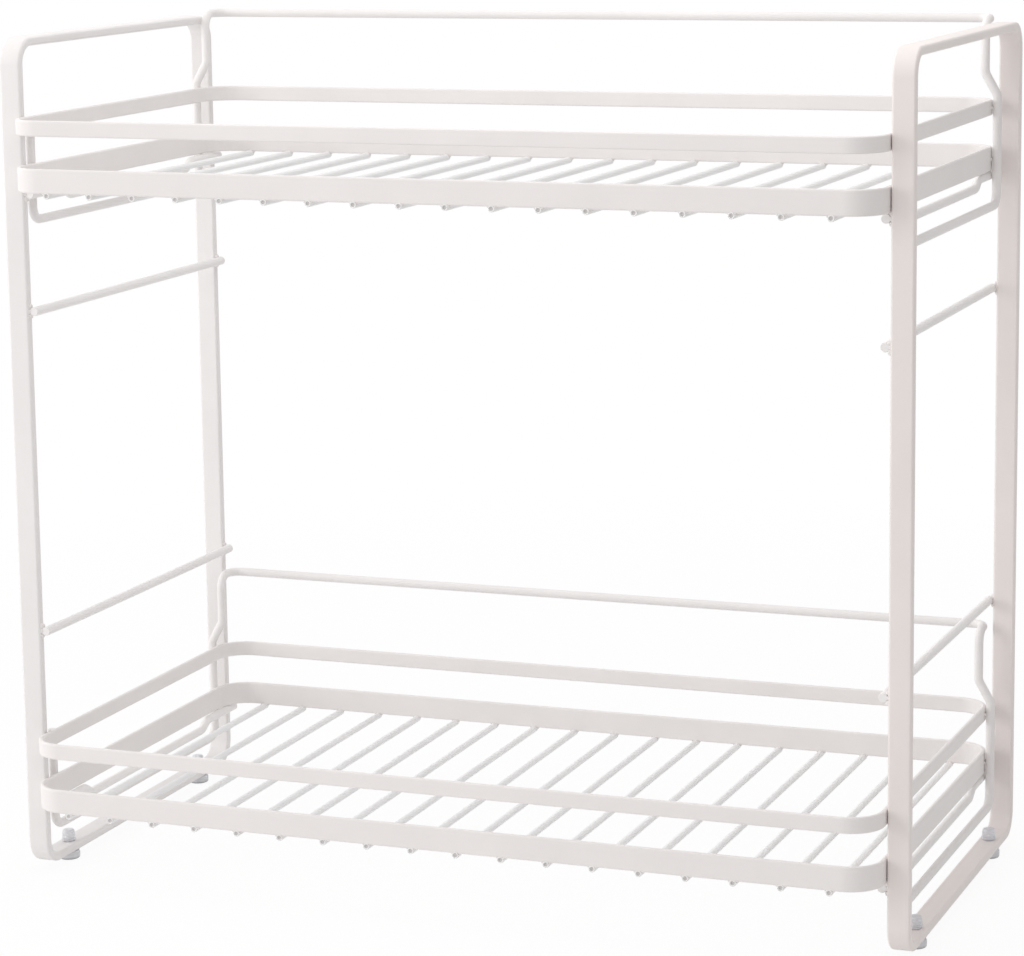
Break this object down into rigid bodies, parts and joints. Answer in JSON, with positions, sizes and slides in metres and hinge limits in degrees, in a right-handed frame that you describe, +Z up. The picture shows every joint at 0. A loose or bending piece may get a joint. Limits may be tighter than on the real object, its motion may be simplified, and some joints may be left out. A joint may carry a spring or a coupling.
{
  "type": "bathroom shelf rack",
  "caption": "Two-tier countertop bathroom rack: wire-floored trays with guard bands and rear rails hook onto rungs between flat-bar side loops on clear bumper feet.",
  "frame": {"origin": "centre of the overall box, at the level of the undersides of the feet", "axes": "+X to the right seen from the front, +Y to the rear, where the rails are, +Z up"},
  "size_m": [0.41, 0.209, 0.3811],
  "materials": {
    "side_frames": "warm off-white powder coat, satin, with a fine orange-peel texture",
    "rungs": "warm off-white powder coat, satin, with a fine orange-peel texture",
    "tray_bands": "warm off-white powder coat, satin, with a fine orange-peel texture",
    "floor_wires": "warm off-white powder coat, satin, with a fine orange-peel texture",
    "rail_wires": "warm off-white powder coat, satin, with a fine orange-peel texture",
    "feet": "clear soft plastic, glossy"
  },
  "bodies": {
    "root": {"left_side_frame": "side_frames", "right_side_frame": "side_frames", "left_lower_tray_rung": "rungs", "left_lower_spare_rung": "rungs", "left_upper_spare_rung": "rungs", "left_upper_tray_rung": "rungs", "right_lower_tray_rung": "rungs", "right_lower_spare_rung": "rungs", "right_upper_spare_rung": "rungs", "right_upper_tray_rung": "rungs", "front_left_foot": "feet", "rear_left_foot": "feet", "front_right_foot": "feet", "rear_right_foot": "feet"},
    "lower_tray": {"lower_tray_floor_band": "tray_bands", "lower_tray_guard_band": "tray_bands", "lower_tray_rail_wire": "rail_wires", "lower_tray_floor_wire_01": "floor_wires", "lower_tray_floor_wire_02": "floor_wires", "lower_tray_floor_wire_03": "floor_wires", "lower_tray_floor_wire_04": "floor_wires", "lower_tray_floor_wire_05": "floor_wires", "lower_tray_floor_wire_06": "floor_wires", "lower_tray_floor_wire_07": "floor_wires", "lower_tray_floor_wire_08": "floor_wires", "lower_tray_floor_wire_09": "floor_wires", "lower_tray_floor_wire_10": "floor_wires", "lower_tray_floor_wire_11": "floor_wires", "lower_tray_floor_wire_12": "floor_wires", "lower_tray_floor_wire_13": "floor_wires", "lower_tray_floor_wire_14": "floor_wires", "lower_tray_floor_wire_15": "floor_wires", "lower_tray_floor_wire_16": "floor_wires", "lower_tray_floor_wire_17": "floor_wires", "lower_tray_floor_wire_18": "floor_wires"},
    "upper_tray": {"upper_tray_floor_band": "tray_bands", "upper_tray_guard_band": "tray_bands", "upper_tray_rail_wire": "rail_wires", "upper_tray_floor_wire_01": "floor_wires", "upper_tray_floor_wire_02": "floor_wires", "upper_tray_floor_wire_03": "floor_wires", "upper_tray_floor_wire_04": "floor_wires", "upper_tray_floor_wire_05": "floor_wires", "upper_tray_floor_wire_06": "floor_wires", "upper_tray_floor_wire_07": "floor_wires", "upper_tray_floor_wire_08": "floor_wires", "upper_tray_floor_wire_09": "floor_wires", "upper_tray_floor_wire_10": "floor_wires", "upper_tray_floor_wire_11": "floor_wires", "upper_tray_floor_wire_12": "floor_wires", "upper_tray_floor_wire_13": "floor_wires", "upper_tray_floor_wire_14": "floor_wires", "upper_tray_floor_wire_15": "floor_wires", "upper_tray_floor_wire_16": "floor_wires", "upper_tray_floor_wire_17": "floor_wires", "upper_tray_floor_wire_18": "floor_wires"}
  },
  "joints": [
    {"name": "upper_tray_lift", "type": "slide", "parent": "root", "child": "upper_tray", "axis": [0, 0, 1], "range_m": [0, 0.02]},
    {"name": "lower_tray_lift", "type": "slide", "parent": "root", "child": "lower_tray", "axis": [0, 0, 1], "range_m": [0, 0.007]}
  ]
}
